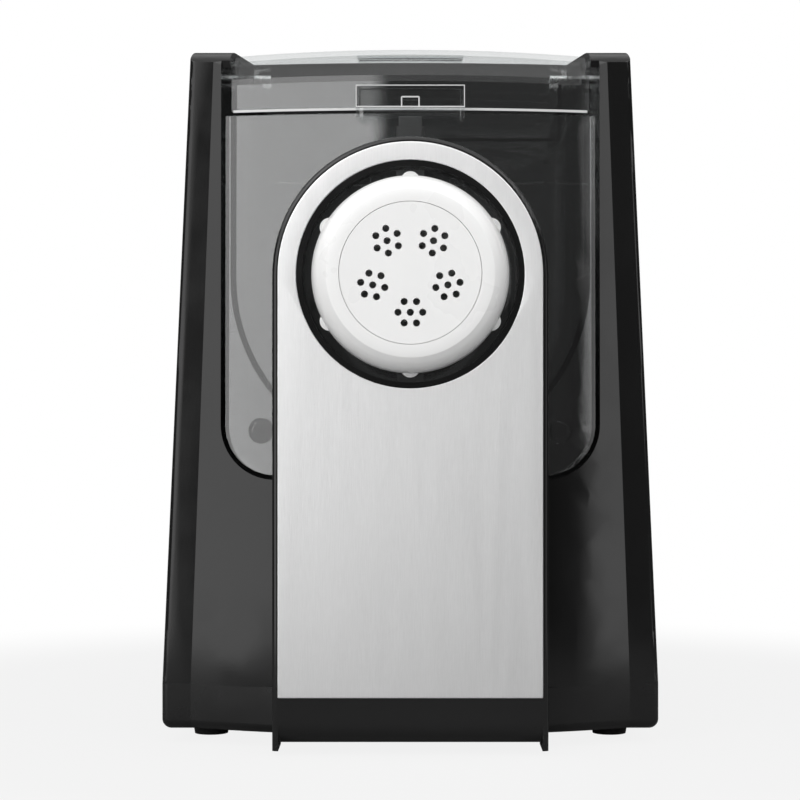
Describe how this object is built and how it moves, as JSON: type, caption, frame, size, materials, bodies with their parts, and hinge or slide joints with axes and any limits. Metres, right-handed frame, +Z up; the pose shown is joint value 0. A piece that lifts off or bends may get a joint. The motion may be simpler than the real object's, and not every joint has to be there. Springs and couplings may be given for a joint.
{
  "type": "electric pasta maker",
  "caption": "Countertop machine that kneads dough in a clear drawer-like bowl and presses it through a round die, with steel front cover and clear lid.",
  "frame": {"origin": "middle of the object's box in X and Y, on the surface that the feet stand on", "axes": "+Z up, front with the die towards -Y, +X to the right seen from the front"},
  "size_m": [0.21, 0.314, 0.311],
  "materials": {
    "black_gloss": "gloss",
    "black_base": "satin",
    "clear": "clear, gloss",
    "brushed_plate": "vertical brushing",
    "white": "satin",
    "rubber_black": "matte",
    "seal_grey": "matte",
    "display": "gloss",
    "button_grey": "satin",
    "board_green": "satin",
    "part_dark": "matte",
    "nylon": "satin",
    "gearbox_grey": "matte",
    "steel": "ground",
    "laminations": "oiled",
    "copper": "enamelled wire",
    "bronze": "sintered",
    "carbon": "matte",
    "bracket_zinc": "cast"
  },
  "bodies": {
    "housing": {"main_housing": "black_gloss", "base_tray": "black_base", "foot_front_left": "rubber_black", "foot_rear_left": "rubber_black", "foot_front_right": "rubber_black", "foot_rear_right": "rubber_black", "rear_cover": "black_gloss", "cord_gland": "rubber_black", "control_deck": "black_gloss", "display_window": "display", "control_board": "board_green", "board_standoffs": "part_dark", "button_switches": "part_dark", "display_module": "part_dark", "lid_switch": "part_dark", "gearbox_front": "gearbox_grey", "gearbox_rear": "gearbox_grey", "gearbox_screws": "steel", "output_bush_front": "bronze", "output_bush_rear": "bronze", "first_axle": "steel", "second_axle": "steel", "bulkhead_seal": "seal_grey", "motor_core": "laminations", "field_windings": "copper", "motor_rear_bracket": "bracket_zinc", "motor_bearings": "bronze", "motor_front_bracket": "bracket_zinc", "brush_holders": "part_dark", "carbon_brushes": "carbon", "base_screws": "steel"},
    "bowl": {"mixing_bowl": "clear", "bowl_shaft_seal": "seal_grey", "extrusion_barrel": "clear", "pasta_die": "white"},
    "lid": {"lid": "clear", "lid_hinge_pins": "steel"},
    "front_cover": {"front_cover": "black_gloss", "front_plate": "brushed_plate"},
    "nut": {"clamping_nut": "white"},
    "paddle": {"mixing_paddle": "part_dark", "auger_screw": "white"},
    "output": {"output_gear": "nylon", "output_shaft": "steel", "drive_coupling": "steel"},
    "second_gear": {"second_gear": "nylon"},
    "first_gear": {"first_gear": "nylon"},
    "armature": {"armature_shaft": "steel", "armature_core": "laminations", "armature_windings": "copper", "commutator": "copper", "cooling_fan": "part_dark", "motor_pinion": "steel"},
    "power_button": {"power_button": "button_grey"},
    "program_button": {"program_button": "button_grey"},
    "start_button": {"start_button": "button_grey"}
  },
  "joints": [
    {"name": "bowl_slide", "type": "slide", "parent": "housing", "child": "bowl", "axis": [0, -1, 0], "range_m": [0, 0.18]},
    {"name": "lid_hinge", "type": "hinge", "parent": "bowl", "child": "lid", "pos_m": [0, 0.034, 0.301], "axis": [-1, 0, 0], "range_deg": [0, 88]},
    {"name": "cover_slide", "type": "slide", "parent": "bowl", "child": "front_cover", "axis": [0, -1, 0], "range_m": [0, 0.06]},
    {"name": "nut_turn", "type": "hinge", "parent": "bowl", "child": "nut", "pos_m": [0, -0.145, 0.1962], "axis": [0, -1, 0], "range_deg": [0, 60]},
    {"name": "armature_turn", "type": "hinge", "parent": "housing", "child": "armature", "pos_m": [0, 0, 0.07501], "axis": [0, 1, 0], "continuous": true},
    {"name": "first_turn", "type": "hinge", "parent": "housing", "child": "first_gear", "pos_m": [0, 0, 0.11101], "axis": [0, 1, 0], "continuous": true},
    {"name": "second_turn", "type": "hinge", "parent": "housing", "child": "second_gear", "pos_m": [0.0194, 0, 0.14742], "axis": [0, 1, 0], "continuous": true},
    {"name": "output_turn", "type": "hinge", "parent": "housing", "child": "output", "pos_m": [0, 0, 0.1962], "axis": [0, 1, 0], "continuous": true},
    {"name": "paddle_turn", "type": "hinge", "parent": "bowl", "child": "paddle", "pos_m": [0, 0, 0.1962], "axis": [0, 1, 0], "continuous": true},
    {"name": "power_press", "type": "slide", "parent": "housing", "child": "power_button", "axis": [0, 0, -1], "range_m": [0, 0.0012], "stiffness_N_per_m": 600, "springref_m": -0.0005},
    {"name": "program_press", "type": "slide", "parent": "housing", "child": "program_button", "axis": [0, 0, -1], "range_m": [0, 0.0012], "stiffness_N_per_m": 600, "springref_m": -0.0005},
    {"name": "start_press", "type": "slide", "parent": "housing", "child": "start_button", "axis": [0, 0, -1], "range_m": [0, 0.0012], "stiffness_N_per_m": 600, "springref_m": -0.0005}
  ],
  "couplings": [
    {"joint": "first_turn", "follows": "armature_turn", "ratio": -0.2},
    {"joint": "second_turn", "follows": "armature_turn", "ratio": 0.044444},
    {"joint": "output_turn", "follows": "armature_turn", "ratio": -0.011111},
    {"joint": "paddle_turn", "follows": "armature_turn", "ratio": -0.011111}
  ]
}
